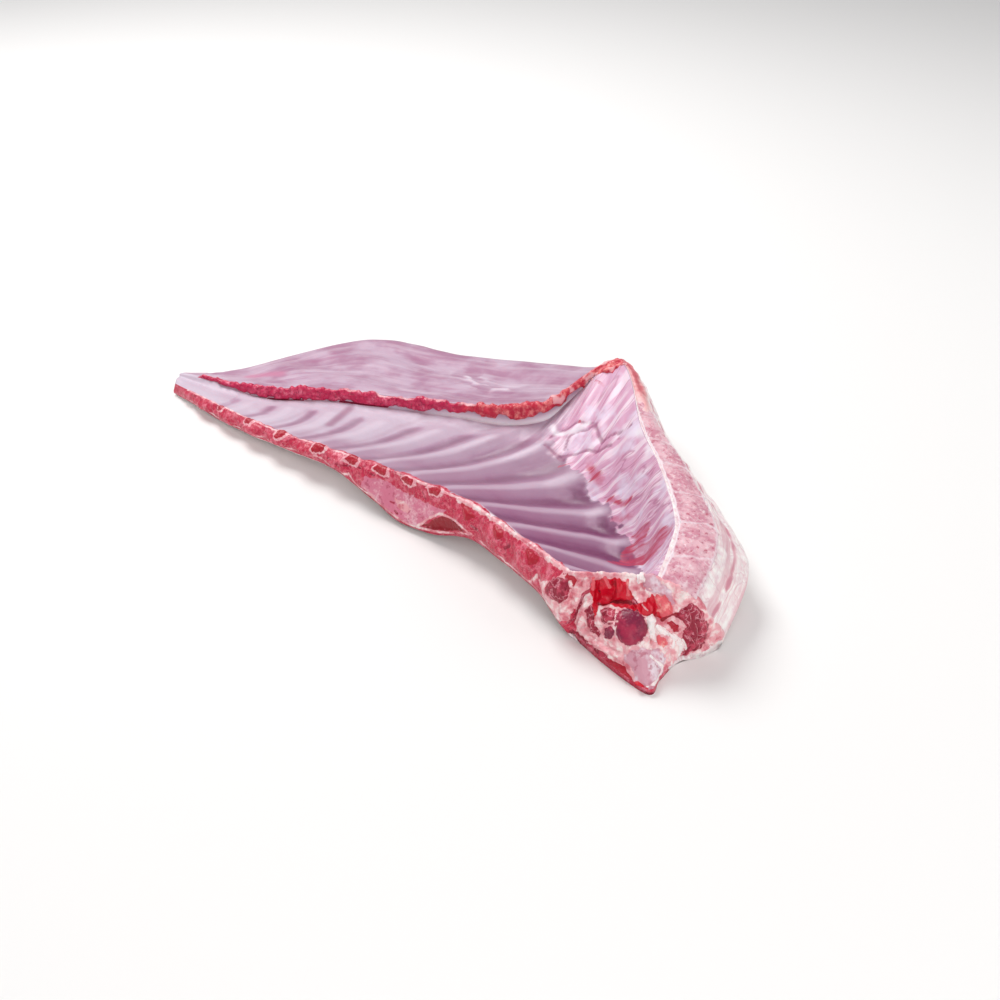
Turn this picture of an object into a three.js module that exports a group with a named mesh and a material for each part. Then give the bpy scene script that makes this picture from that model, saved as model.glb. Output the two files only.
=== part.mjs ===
// Raw lamb ribs: a breast with its flank, one piece, lying inner side up.
// +X runs from the thin flank tip to the thick front end, +Y from the sawn rib ends to the breastbone,
// +Z up. Millimetres. The origin is the middle of the underside's box.
import * as THREE from 'three';
import { mergeVertices } from 'three/addons/utils/BufferGeometryUtils.js';

// Driving sizes of the cut
const ribPitch = 27.7;          // from one sawn rib end to the next
const ribCount = 12;
const firstRibX = 152;          // the sawn end of the foremost rib
const ribRelief = 3.4;          // how far a rib stands above the lean between ribs
const ribShareRear = 0.3;       // share of that relief left near the flank tip
const ribLift = 0.3;            // evens out the ridges against the broader troughs between them
const edgeBulge = 3;            // how far the sawn edge swells between rim and hem
const ribEndKnob = 0.5;         // how much the sawn rib ends add to that swell
const curtain = { x: 18, halfWidth: 26, hollow: 1.5 };      // loose outer lean hanging to the board
const wallThickness = 15;       // ribs with the lean over them
const breastThickness = 38;     // below the breastbone
const flankThickness = 20;      // the most that the boneless flank measures, at the midriff line
const flankWave = 1.1;          // long low waves of that sheet
const midriffStep = 8;          // the trimmed edge of the midriff muscle
const midriffSwell = { at: 0.48, spread: 0.06, share: 0.5 };        // and where it is highest
const midriffInset = 2.5;       // how far the foot of that edge lies inside its top
const breastFoot = 0.9;         // where the breast wall's foot lies, between costal line and crest
const seam = 1.5;               // the least height of the closing wall round the rim
const smoothing = 0.05;         // how far across the sheet the underside evens out the steps of the top
const hemTuck = 0.14;           // how far in from the sawn hem the underside comes down to the board
const outerTuck = 0.2;          // and from the outer border
const strand = { pitch: 15, relief: 1.2, slant: [0.9, 0.35] };      // slips of muscle on the breast wall
const boneBlock = { pitch: 30, swell: 1.5, groove: 1.4, spread: 0.05, sharpness: 8 };   // split breastbone
const fatFold = { depth: 2.5, place: 0.35, spread: 0.03 };      // crease in the fat outside the breastbone

// Cells of the surface, along the sheet and across it
const cellsAlong = 78;
const cellsAcross = 32;
const rimLine = 3 / cellsAcross;        // top of the sawn edge
const troughLine = 11 / cellsAcross;    // lowest line of the inside
const costalLine = 16 / cellsAcross;    // where rib bone turns to gristle
const footLine = 22 / cellsAcross;      // foot of the midriff edge
const crestLine = 23 / cellsAcross;     // midriff edge, then the breastbone's inner border
const shoulderLine = 28 / cellsAcross;  // middle of the flank, then the breastbone's outer border

// Cross sections, each `at` its place along the sheet, with the points where it meets those lines.
// The hem is the foot of the sawn edge.
const sections = [
  { // flank tip
    at: 0.00, hem: [-222, -99, 3], sawn: [-222, -97, 8], trough: [-226, -93, 9], costal: [-229, -89, 8],
    crest: [-231, -85, 9], shoulder: [-234, -81, 7], outer: [-236, -76, 4],
  },
  { // eleventh rib
    at: 0.16, hem: [-151, -101, 6], sawn: [-151, -98, 14], trough: [-153, -86, 11], costal: [-160, -74, 8],
    crest: [-166, -62, 14], shoulder: [-190, -52, 9], outer: [-216, -46, 4],
  },
  { // ninth rib, at the flank's corner
    at: 0.28, hem: [-98, -99.5, 10.5], sawn: [-98, -96, 18], trough: [-102, -66, 11],
    costal: [-110, -46, 9], crest: [-119, -29, 17], shoulder: [-155, 10, 10], outer: [-186, 50, 6],
  },
  { // between the eighth and the seventh
    at: 0.40, hem: [-47, -95, 14], sawn: [-47, -91, 23], trough: [-48, -46, 11], costal: [-46, -16, 10],
    crest: [-46, 6, 22], shoulder: [-77, 44, 12], outer: [-110, 80, 9],
  },
  { // sixth rib
    at: 0.49, hem: [-5, -96, 9], sawn: [-5, -88, 28], trough: [-5, -28, 10], costal: [8, 10, 15],
    crest: [12, 34, 33], shoulder: [-3, 72, 25], outer: [-22, 107, 22],
  },
  { // peak of the breast
    at: 0.545, hem: [20, -95.5, 4], sawn: [20, -86, 30], trough: [21, -20, 9], costal: [38, 16, 18],
    crest: [32, 82, 55], shoulder: [34, 89, 51], outer: [36, 94, 44],
  },
  { // fourth rib
    at: 0.60, hem: [45, -91.5, 6], sawn: [45, -84, 32], trough: [53, -20, 8], costal: [74, 4, 14],
    crest: [98, 30, 51], shoulder: [101, 45, 46], outer: [101, 54, 34],
  },
  { // third rib
    at: 0.66, hem: [71, -88, 14], sawn: [71, -83, 33], trough: [87, -25, 8], costal: [108, -8, 12],
    crest: [134, 4, 51], shoulder: [142, 21, 45], outer: [144, 33, 29],
  },
  { // between the second and the first
    at: 0.745, hem: [109, -93, 15.5], sawn: [109, -88, 34], trough: [125, -40, 9], costal: [151, -33, 13],
    crest: [177, -33, 50], shoulder: [187, -9, 43], outer: [188, 10, 25],
  },
  { // first rib
    at: 0.81, hem: [138, -98.5, 15], sawn: [138, -92, 36], trough: [152, -62, 15], costal: [175, -60, 20],
    crest: [193, -58, 48], shoulder: [210, -34, 42], outer: [216, -15, 22],
  },
  { // rim of the front end
    at: 0.86, hem: [161, -105, 9.5], sawn: [162, -98, 38], trough: [175, -91, 41], costal: [188, -84, 44],
    crest: [203, -78, 46], shoulder: [224, -68, 36], outer: [228, -50, 7],
  },
  { // foot of the front end
    at: 1.00, hem: [166, -101, 1.5], sawn: [167, -100, 3], trough: [196, -106, 3], costal: [226, -108, 2],
    crest: [223, -94, 2], shoulder: [220, -76, 3], outer: [226, -62, 3],
  },
];
const frontRim = sections[sections.length - 2].at;
const peak = 0.545;
const flankEnd = [0.46, 0.56];      // where the flank's half of the sheet gives way to the breastbone's
const flatFront = [0.82, 0.90];     // where the underside comes down to the board before the front end

// Lumps and hollows of the front cut face: how far out, where, and how wide in each direction
const frontLumps = [
  { out: 5, u: 0.940, v: 0.42, spreadU: 0.032, spreadV: 0.075 },    // round end of the bone
  { out: -7, u: 0.893, v: 0.38, spreadU: 0.016, spreadV: 0.10 },    // hollow over it
  { out: 3, u: 0.930, v: 0.72, spreadU: 0.030, spreadV: 0.055 },    // lean on the breast side
  { out: -3, u: 0.925, v: 0.61, spreadU: 0.030, spreadV: 0.030 },   // seam between the two
  { out: 3, u: 0.900, v: 0.08, spreadU: 0.040, spreadV: 0.060 },    // lean beside the sawn edge
];
const frontOut = new THREE.Vector3(0.45, -0.5, 0.75).normalize();

const clamp01 = t => Math.min(1, Math.max(0, t));
const mix = (a, b, t) => a + (b - a) * t;
const ease = t => t * t * (3 - 2 * t);
const rise = (from, to, t) => ease(clamp01((t - from) / (to - from)));
const hill = d => Math.exp(-d * d);

// A smooth curve through values at given knots, with slopes from the neighbours
function through(knots, values, t) {
  const last = knots.length - 1;
  let i = 0;
  while (i < last - 1 && t > knots[i + 1]) i += 1;
  const span = knots[i + 1] - knots[i];
  const slope = k => {
    const before = Math.max(0, k - 1);
    const after = Math.min(last, k + 1);
    return (values[after] - values[before]) / (knots[after] - knots[before]);
  };
  const s = (t - knots[i]) / span;
  const s2 = s * s;
  const s3 = s2 * s;
  return (2 * s3 - 3 * s2 + 1) * values[i] + (s3 - 2 * s2 + s) * span * slope(i)
    + (3 * s2 - 2 * s3) * values[i + 1] + (s3 - s2) * span * slope(i + 1);
}

function throughPoints(knots, points, t) {
  const [x, y, z] = ['x', 'y', 'z'].map(axis => through(knots, points.map(point => point[axis]), t));
  return new THREE.Vector3(x, y, z);
}

// Where a cross section at u meets one line. The front end is a cut, so all lines turn sharply at its rim.
function rail(name, u) {
  const rim = sections.length - 2;
  const span = u > frontRim ? sections.slice(rim) : sections.slice(0, rim + 1);
  const points = span.map(section => new THREE.Vector3(...section[name]));
  return throughPoints(span.map(section => section.at), points, u);
}

// 1 on the boneless flank's half of the sheet, 0 on the breastbone's half
const flankShare = u => 1 - rise(...flankEnd, u);
const frontShare = u => clamp01((u - frontRim) / (1 - frontRim));
const ribWave = x => Math.cos(2 * Math.PI * (x - firstRibX) / ribPitch);

// Ribs are ridges across the inside, from the sawn edge to the gristle, lower towards the flank tip.
function ribHeight(u, v, x) {
  const phase = (x - firstRibX) / ribPitch;
  if (phase > 0.6 || phase < 0.5 - ribCount) return 0;
  const inner = mix(1, rise(0, 1, (costalLine + 0.1 - v) / 0.16), 1 - flankShare(u));
  const across = rise(rimLine - 0.04, rimLine + 0.1, v) * inner * (1 - rise(footLine - 0.1, footLine, v));
  const alongSheet = mix(ribShareRear, 1, rise(0.2, 0.55, u)) * (1 - rise(frontRim - 0.04, frontRim, u));
  return ribRelief * across * alongSheet * (ribWave(x) - ribLift) / (1 + ribLift);
}

// Thin muscle slips on the wall that climbs to the breastbone, drawn slantwise
function strandHeight(u, v, point) {
  const band = rise(costalLine, costalLine + 0.05, v) * (1 - rise(footLine - 0.03, crestLine, v));
  const turns = (point.x * strand.slant[0] + point.y * strand.slant[1]) / strand.pitch;
  return strand.relief * band * (1 - flankShare(u)) * Math.sin(2 * Math.PI * turns);
}

// The split breastbone is a row of blocks beside the crest, with a fold of fat outside it.
function breastHeight(u, v, point) {
  const bone = hill((v - mix(crestLine, shoulderLine, 0.5)) / boneBlock.spread);
  const fold = hill((v - mix(shoulderLine, 1, fatFold.place)) / fatFold.spread);
  const turn = Math.PI * (point.x - point.y) / (boneBlock.pitch * Math.SQRT2);
  const joint = Math.pow(Math.abs(Math.cos(turn)), boneBlock.sharpness);
  return (1 - flankShare(u)) * ((boneBlock.swell - boneBlock.groove * joint) * bone - fatFold.depth * fold);
}

// The boneless flank lies in long low waves beyond the midriff edge.
function flankHeight(u, v, point) {
  const s = clamp01((v - crestLine) / (1 - crestLine));
  const wave = Math.sin(point.y * 0.14 - point.x * 0.03) + 0.6 * Math.sin(point.x * 0.085 + point.y * 0.05);
  return flankShare(u) * flankWave * wave * rise(0, 0.3, s) * rise(0.03, 0.2, u);
}

function frontRelief(u, v) {
  const fade = rise(0, 0.12, frontShare(u)) * (1 - rise(0.85, 1, frontShare(u)));
  return fade * frontLumps.reduce((sum, lump) =>
    sum + lump.out * hill((u - lump.u) / lump.spreadU) * hill((v - lump.v) / lump.spreadV), 0);
}

// The sawn edge drops from the rim to the hem. It swells between them, and hollows where the curtain hangs.
function sawnEdge(u, v, sawn) {
  const down = 1 - v / rimLine;
  const loose = hill((sawn.x - curtain.x) / curtain.halfWidth);
  const swell = (1 + ribEndKnob * ribWave(sawn.x)) * (1 - curtain.hollow * loose) * rise(0, 0.1, u);
  const point = sawn.clone().lerp(rail('hem', u), down);
  point.y -= edgeBulge * 4 * down * (1 - down) * swell * (1 - frontShare(u));
  return point;
}

// The upper skin without its fine relief
function skin(u, v) {
  const sawn = rail('sawn', u);
  if (v <= rimLine) return sawnEdge(u, v, sawn);
  const crest = rail('crest', u);
  if (v > crestLine) {
    return throughPoints([crestLine, shoulderLine, 1], [crest, rail('shoulder', u), rail('outer', u)], v);
  }
  const costal = rail('costal', u);
  const midriffFoot = crest.clone();
  const swell = midriffSwell.share * hill((u - midriffSwell.at) / midriffSwell.spread);
  midriffFoot.y -= midriffInset;
  midriffFoot.z -= midriffStep * (1 + swell) * rise(0.03, 0.2, u);
  const foot = costal.clone().lerp(crest, breastFoot).lerp(midriffFoot, 1 - rise(0.5, peak, u));
  if (v > footLine) return foot.lerp(crest, (v - footLine) / (crestLine - footLine));
  const knots = [rimLine, troughLine, costalLine, footLine];
  return throughPoints(knots, [sawn, rail('trough', u), costal, foot], v);
}

function upper(u, v) {
  const point = skin(u, v);
  if (v >= rimLine) {
    const relief = ribHeight(u, v, rail('sawn', u).x) + strandHeight(u, v, point)
      + breastHeight(u, v, point) + flankHeight(u, v, point);
    point.z += relief * rise(0, 0.05, u) * (1 - frontShare(u)) * (1 - rise(0.94, 1, v));
  }
  return point.addScaledVector(frontOut, frontRelief(u, v));
}

// The underside follows the upper skin by the sheet's thickness and lies flat where it meets the board.
function lower(u, v) {
  const reach = rimLine + v * (1 - rimLine);
  const base = skin(u, reach);
  const edge = skin(u, 0);
  const level = [-1, 0, 1].reduce((sum, side) => sum + skin(u, clamp01(reach + side * smoothing)).z, 0) / 3;
  const outerWall = mix(breastThickness, flankThickness, flankShare(u));
  const thickness = mix(wallThickness, outerWall, rise(costalLine, crestLine + 0.05, reach));
  const side = clamp01((v - 1 + outerTuck) / outerTuck);
  const tuck = (skin(u, 1).z - seam) * (1 - Math.sqrt(1 - side * side));
  const sheet = Math.max(0, level - thickness, tuck) * (1 - rise(...flatFront, u));
  const nearSawn = 1 - rise(0, hemTuck, v);
  return new THREE.Vector3(
    mix(base.x, edge.x, nearSawn),
    mix(base.y, edge.y, nearSawn),
    mix(sheet, Math.max(0, edge.z - seam), nearSawn),
  );
}

// A box of cells, wrapped onto the two skins
function ribSheet() {
  const cells = new THREE.BoxGeometry(1, 1, 1, cellsAlong, cellsAcross, 1);
  cells.deleteAttribute('normal');
  cells.deleteAttribute('uv');
  const geometry = mergeVertices(cells, 1e-4);
  const position = geometry.getAttribute('position');
  for (let i = 0; i < position.count; i += 1) {
    const u = clamp01(position.getX(i) + 0.5);
    const v = clamp01(position.getY(i) + 0.5);
    const point = position.getZ(i) > 0 ? upper(u, v) : lower(u, v);
    position.setXYZ(i, point.x, point.y, point.z);
  }
  geometry.computeVertexNormals();
  geometry.computeBoundingBox();
  const { min, max } = geometry.boundingBox;
  return geometry.translate(-(min.x + max.x) / 2, -(min.y + max.y) / 2, -min.z);
}

const rawLamb = new THREE.MeshStandardMaterial({ color: '#cf8f9c', roughness: 0.4, metalness: 0 });
const ribs = new THREE.Mesh(ribSheet(), rawLamb);
ribs.name = 'lamb_ribs';

const lambRibs = new THREE.Group();
lambRibs.add(ribs);
export default lambRibs;
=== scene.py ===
# Raw lamb breast and flank in one piece, lying inner side up: skins, fat, bone and cut lean on the solid.
import math
import bmesh
import bpy
import numpy as np
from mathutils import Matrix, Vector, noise


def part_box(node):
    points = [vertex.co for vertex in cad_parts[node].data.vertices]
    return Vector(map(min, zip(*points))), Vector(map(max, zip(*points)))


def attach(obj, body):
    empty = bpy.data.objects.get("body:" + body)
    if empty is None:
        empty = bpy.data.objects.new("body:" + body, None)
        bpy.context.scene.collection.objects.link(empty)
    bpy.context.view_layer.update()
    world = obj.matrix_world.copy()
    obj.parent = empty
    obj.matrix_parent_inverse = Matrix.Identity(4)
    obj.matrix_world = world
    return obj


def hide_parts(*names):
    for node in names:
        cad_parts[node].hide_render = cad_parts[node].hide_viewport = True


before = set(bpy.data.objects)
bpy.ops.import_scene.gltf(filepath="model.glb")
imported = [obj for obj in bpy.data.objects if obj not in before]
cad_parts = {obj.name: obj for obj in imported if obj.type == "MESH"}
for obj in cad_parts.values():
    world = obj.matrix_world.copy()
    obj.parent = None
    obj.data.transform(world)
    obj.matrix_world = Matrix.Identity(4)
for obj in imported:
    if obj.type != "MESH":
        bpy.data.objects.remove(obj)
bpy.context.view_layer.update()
mm = 0.001

# The sheet's form in millimetres, as the solid has it: points on seven lines across, at places along
cut = {
    "at": (0.00, 0.16, 0.28, 0.40, 0.49, 0.545, 0.60, 0.66, 0.745, 0.81, 0.86, 1.00),
    "hem": ((-222, -99, 3), (-151, -101, 6), (-98, -99.5, 10.5), (-47, -95, 14), (-5, -96, 9), (20, -95.5, 4),
            (45, -91.5, 6), (71, -88, 14), (109, -93, 15.5), (138, -98.5, 15), (161, -105, 9.5),
            (166, -101, 1.5)),
    "sawn": ((-222, -97, 8), (-151, -98, 14), (-98, -96, 18), (-47, -91, 23), (-5, -88, 28), (20, -86, 30),
             (45, -84, 32), (71, -83, 33), (109, -88, 34), (138, -92, 36), (162, -98, 38), (167, -100, 3)),
    "trough": ((-226, -93, 9), (-153, -86, 11), (-102, -66, 11), (-48, -46, 11), (-5, -28, 10), (21, -20, 9),
               (53, -20, 8), (87, -25, 8), (125, -40, 9), (152, -62, 15), (175, -91, 41), (196, -106, 3)),
    "costal": ((-229, -89, 8), (-160, -74, 8), (-110, -46, 9), (-46, -16, 10), (8, 10, 15), (38, 16, 18),
               (74, 4, 14), (108, -8, 12), (151, -33, 13), (175, -60, 20), (188, -84, 44), (226, -108, 2)),
    "crest": ((-231, -85, 9), (-166, -62, 14), (-119, -29, 17), (-46, 6, 22), (12, 34, 33), (32, 82, 55),
              (98, 30, 51), (134, 4, 51), (177, -33, 50), (193, -58, 48), (203, -78, 46), (223, -94, 2)),
    "shoulder": ((-234, -81, 7), (-190, -52, 9), (-155, 10, 10), (-77, 44, 12), (-3, 72, 25), (34, 89, 51),
                 (101, 45, 46), (142, 21, 45), (187, -9, 43), (210, -34, 42), (224, -68, 36), (220, -76, 3)),
    "outer": ((-236, -76, 4), (-216, -46, 4), (-186, 50, 6), (-110, 80, 9), (-22, 107, 22), (36, 94, 44),
              (101, 54, 34), (144, 33, 29), (188, 10, 25), (216, -15, 22), (228, -50, 7), (226, -62, 3)),
}
line = {
    "rim": 3 / 32, "trough": 11 / 32, "costal": 16 / 32, "foot": 22 / 32, "crest": 23 / 32,
    "shoulder": 28 / 32,
}
frontRim = 0.86                     # along: where the front cut face begins
peak = 0.545                        # along: the highest corner of the breast
solidCells = (79, 33)               # places along and across on the solid's own grid
sheetSpan = {"along": 480, "across": 205}      # millimetres of sheet from place 0 to place 1
ribs = {"pitch": 27.7, "count": 12, "firstX": 152, "relief": 3.4, "rear": 0.3, "lift": 0.3}
walls = {"rib": 15, "breast": 38, "flank": 20, "seam": 1.5, "smoothing": 0.05, "step": 8}
sawn = {"bulge": 3, "knob": 0.5}
curtain = {"x": 18, "half": 26, "hollow": 1.5}
lumps = {                           # of the front face: out, along, across, spread along, spread across
    "boneEnd": (5, 0.940, 0.42, 0.032, 0.075), "hollow": (-7, 0.893, 0.38, 0.016, 0.10),
    "breastLean": (3, 0.930, 0.72, 0.030, 0.055), "leanSeam": (-3, 0.925, 0.61, 0.030, 0.030),
    "cornerLean": (3, 0.900, 0.08, 0.040, 0.060),
}
faceOut = np.array((0.45, -0.5, 0.75)) / np.linalg.norm((0.45, -0.5, 0.75))


def clamp01(t):
    return np.clip(t, 0, 1)


def mix(a, b, t):
    return a + (b - a) * t


def rise(start, end, t):
    t = clamp01((t - start) / (end - start))
    return t * t * (3 - 2 * t)


# 1 between an upward and a downward slope, 0 outside them
def plateau(upFrom, upTo, downFrom, downTo, t):
    return rise(upFrom, upTo, t) * (1 - rise(downFrom, downTo, t))


def hill(d):
    return np.exp(-d * d)


def column(values):
    return np.asarray(values)[:, None]


# A smooth curve through points at given knots, with slopes from the neighbours
def through(knots, values, t):
    knots = np.array(knots, float)
    values = np.array(values, float)
    if values.ndim == 2:
        values = values[:, None, :]
    last = len(knots) - 1
    slopes = np.empty_like(values)
    for k in range(last + 1):
        before, after = max(0, k - 1), min(last, k + 1)
        slopes[k] = (values[after] - values[before]) / (knots[after] - knots[before])
    left = np.clip(np.searchsorted(knots, t, "right") - 1, 0, last - 1)
    span = column(knots[left + 1] - knots[left])
    s = column(t - knots[left]) / span
    each = np.arange(len(t)) if values.shape[1] > 1 else np.zeros(len(t), int)
    s2, s3 = s * s, s * s * s
    return ((2 * s3 - 3 * s2 + 1) * values[left, each] + (s3 - 2 * s2 + s) * span * slopes[left, each]
            + (3 * s2 - 2 * s3) * values[left + 1, each] + (s3 - s2) * span * slopes[left + 1, each])


def rail(name, u):
    rim = len(cut["at"]) - 2
    points = through(cut["at"][:rim + 1], cut[name][:rim + 1], np.minimum(u, frontRim))
    front = u > frontRim
    if front.any():
        points[front] = through(cut["at"][rim:], cut[name][rim:], u[front])
    return points


def flankShare(u):
    return 1 - rise(0.46, 0.56, u)


def frontShare(u):
    return clamp01((u - frontRim) / (1 - frontRim))


def ribWave(x):
    return np.cos(2 * np.pi * (x - ribs["firstX"]) / ribs["pitch"])


def looseness(x):
    return hill((x - curtain["x"]) / curtain["half"])


def sawnEdge(u, v, rim):
    down = 1 - v / line["rim"]
    swell = (1 + sawn["knob"] * ribWave(rim[:, 0])) * rise(0, 0.1, u)
    swell = swell * (1 - curtain["hollow"] * looseness(rim[:, 0]))
    points = mix(rim, rail("hem", u), column(down))
    points[:, 1] -= sawn["bulge"] * 4 * down * (1 - down) * swell * (1 - frontShare(u))
    return points


# The upper skin without its relief: u runs along the sheet, v across it
def skin(u, v):
    rim, crest, costal = rail("sawn", u), rail("crest", u), rail("costal", u)
    foot = crest.copy()
    foot[:, 1] -= 2.5
    foot[:, 2] -= walls["step"] * (1 + 0.5 * hill((u - 0.48) / 0.06)) * rise(0.03, 0.2, u)
    foot = mix(mix(costal, crest, 0.9), foot, column(1 - rise(0.5, peak, u)))
    knots = [line["rim"], line["trough"], line["costal"], line["foot"]]
    inner = through(knots, np.stack([rim, rail("trough", u), costal, foot]), v)
    wall = mix(foot, crest, column((v - line["foot"]) / (line["crest"] - line["foot"])))
    outside = np.stack([crest, rail("shoulder", u), rail("outer", u)])
    outer = through([line["crest"], line["shoulder"], 1], outside, v)
    points = np.where(column(v > line["foot"]), wall, inner)
    points = np.where(column(v > line["crest"]), outer, points)
    return np.where(column(v <= line["rim"]), sawnEdge(u, v, rim), points)


def ribHeight(u, v):
    rimX = rail("sawn", u)[:, 0]
    phase = (rimX - ribs["firstX"]) / ribs["pitch"]
    inner = mix(1, rise(0, 1, (line["costal"] + 0.1 - v) / 0.16), 1 - flankShare(u))
    across = plateau(line["rim"] - 0.04, line["rim"] + 0.1, line["foot"] - 0.1, line["foot"], v)
    along = mix(ribs["rear"], 1, rise(0.2, 0.55, u)) * (1 - rise(frontRim - 0.04, frontRim, u))
    rib = ribs["relief"] * across * inner * along * (ribWave(rimX) - ribs["lift"]) / (1 + ribs["lift"])
    return np.where((phase > 0.6) | (phase < 0.5 - ribs["count"]), 0, rib)


def upper(u, v):
    points = skin(u, v)
    x, y = points[:, 0], points[:, 1]
    band = plateau(line["costal"], line["costal"] + 0.05, line["foot"] - 0.03, line["crest"], v)
    slips = 1.2 * band * (1 - flankShare(u)) * np.sin(2 * np.pi * (x * 0.9 + y * 0.35) / 15)
    bone = hill((v - mix(line["crest"], line["shoulder"], 0.5)) / 0.05)
    fold = hill((v - mix(line["shoulder"], 1, 0.35)) / 0.03)
    joint = np.abs(np.cos(np.pi * (x - y) / (30 * math.sqrt(2)))) ** 8
    breast = (1 - flankShare(u)) * (1.5 * bone - 1.4 * joint * bone - 2.5 * fold)
    s = clamp01((v - line["crest"]) / (1 - line["crest"]))
    wave = np.sin(y * 0.14 - x * 0.03) + 0.6 * np.sin(x * 0.085 + y * 0.05)
    flank = flankShare(u) * 1.1 * wave * rise(0, 0.3, s) * rise(0.03, 0.2, u)
    relief = (ribHeight(u, v) + slips + breast + flank) * rise(0, 0.05, u) * (1 - frontShare(u))
    relief = relief * (1 - rise(0.94, 1, v))
    points[:, 2] += np.where(v >= line["rim"], relief, 0)
    fade = plateau(0, 0.12, 0.85, 1, frontShare(u))
    front = sum(out * hill((u - a) / c) * hill((v - b) / d) for out, a, b, c, d in lumps.values())
    return points + column(fade * front) * faceOut


def lower(u, v):
    reach = line["rim"] + v * (1 - line["rim"])
    base, edge = skin(u, reach), skin(u, np.zeros_like(v))
    level = sum(skin(u, clamp01(reach + side * walls["smoothing"]))[:, 2] for side in (-1, 0, 1)) / 3
    outerWall = mix(walls["breast"], walls["flank"], flankShare(u))
    thickness = mix(walls["rib"], outerWall, rise(line["costal"], line["crest"] + 0.05, reach))
    side = clamp01((v - 0.8) / 0.2)
    tuck = (skin(u, np.ones_like(v))[:, 2] - walls["seam"]) * (1 - np.sqrt(1 - side * side))
    sheet = np.maximum(0, np.maximum(level - thickness, tuck)) * (1 - rise(0.82, 0.9, u))
    nearSawn = 1 - rise(0, 0.14, v)
    return np.stack([mix(base[:, 0], edge[:, 0], nearSawn), mix(base[:, 1], edge[:, 1], nearSawn),
                     mix(sheet, np.maximum(0, edge[:, 2] - walls["seam"]), nearSawn)], 1)


# The solid was centred on its own box, so the form's box on the solid's cells gives the shift
def frameShift():
    u, v = [grid.ravel() for grid in np.meshgrid(*[np.linspace(0, 1, count) for count in solidCells])]
    both = np.concatenate([upper(u, v), lower(u, v)])
    low, high = [np.array(corner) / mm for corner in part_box("lamb_ribs")]
    print("form and solid differ by", ((high - low) - (both.max(0) - both.min(0))).round(2), "mm")
    return (low + high) / 2 - (both.min(0) + both.max(0)) / 2


shift = frameShift()


def outward(u, v):
    step = 0.002
    alongStep = upper(clamp01(u + step), v) - upper(clamp01(u - step), v)
    acrossStep = upper(u, clamp01(v + step)) - upper(u, clamp01(v - step))
    normals = np.cross(alongStep, acrossStep)
    return normals / np.maximum(column(np.linalg.norm(normals, axis=1)), 1e-9)


# Perlin noise of a given grain in millimetres
def grain(points, size, seed):
    return np.array([noise.noise(point) for point in (points / size + seed * 7.31).tolist()])


# Uneven ground of several grains, each a size and a height, with seeds counted up from the first
def uneven(points, seed, *grains):
    return sum(height * grain(points, size, seed + i) for i, (size, height) in enumerate(grains))


# Uneven ground on the sheet's own map, with one size along it and another across
def streaks(u, v, seed, along, across, height):
    points = np.stack([u * sheetSpan["along"] / along, v * sheetSpan["across"] / across, 0 * u], 1)
    return height * grain(points, 1, seed)


# Millimetres from each point to a path, in the plan or in space
def fromPath(points, path):
    path = np.array(path, float)
    if len(path) == 1:
        path = np.repeat(path, 2, 0)
    best = np.full(len(points), 1e9)
    for start, end in zip(path[:-1], path[1:]):
        run = end - start
        t = clamp01((points - start) @ run / max(run @ run, 1e-9))
        best = np.minimum(best, np.linalg.norm(points - start - t[:, None] * run, axis=1))
    return best


# Soft marks along paths in the plan, each with a width
def nearPaths(points, *paths):
    return sum(hill(fromPath(points[:, :2], path) / width) for path, width in paths)


# A soft line along the sheet, given as its place across and its width
def softLine(v, place):
    return hill((v - place[0]) / place[1])


# Whether a place on the sheet lies inside an outline of places
def isInside(u, v, outline):
    inside = np.zeros(len(u), bool)
    for (a, b), (c, d) in zip(outline, outline[1:] + outline[:1]):
        if b != d:
            inside ^= ((b > v) != (d > v)) & (u < (c - a) * (v - b) / (d - b) + a)
    return inside


# Lays tissues on the skin one over the other. A tissue is an area inside its outline or a line of some width,
# and covers what lies under it. Gives the height of the surface and, for each tissue, where it shows.
def layTissues(u, v, base, tissues, height, seed):
    marks = {tissue[0]: np.zeros_like(u) for tissue in tissues}
    wobble = uneven(base, seed, (4.5, 1.1), (1.8, 0.9))
    for name, kind, width, lift, places in tissues:
        outline = list(places) + [places[0]] if kind == "area" else list(places)
        distance = fromPath(base, upper(*np.array(outline, float).T))
        if kind == "area":
            distance = np.where(isInside(u, v, list(places)), -distance, distance)
        depth = width - distance + wobble * (1.0 if kind == "area" else min(1.0, 0.5 * width))
        share = rise(-0.6, 0.6, depth)
        for other in marks:
            marks[other] = marks[other] * (1 - share)
        marks[name] = np.maximum(marks[name], share)
        height = mix(height, 0.4 * height + lift * rise(-0.4, 2.4, depth), share)
    return height, marks


def toWorld(points):
    return (points + shift) * mm


# A closed box of cells: x is the place along, y the place across, z is 0 below and 1 on top
def slab(name, cellsAlong, cellsAcross, topCuts=0):
    bm = bmesh.new()
    bmesh.ops.create_grid(bm, x_segments=cellsAlong, y_segments=cellsAcross, size=0.5)
    bmesh.ops.translate(bm, verts=bm.verts[:], vec=(0.5, 0.5, 0.0))
    raised = bmesh.ops.extrude_face_region(bm, geom=bm.faces[:])["geom"]
    topVerts = [part for part in raised if isinstance(part, bmesh.types.BMVert)]
    bmesh.ops.translate(bm, verts=topVerts, vec=(0.0, 0.0, 1.0))
    if topCuts:
        topEdges = [edge for edge in bm.edges if min(vert.co.z for vert in edge.verts) > 0.5]
        bmesh.ops.subdivide_edges(bm, edges=topEdges, cuts=topCuts, use_grid_fill=True)
    bmesh.ops.recalc_face_normals(bm, faces=bm.faces[:])
    mesh = bpy.data.meshes.new(name)
    bm.to_mesh(mesh)
    bm.free()
    return mesh


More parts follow.
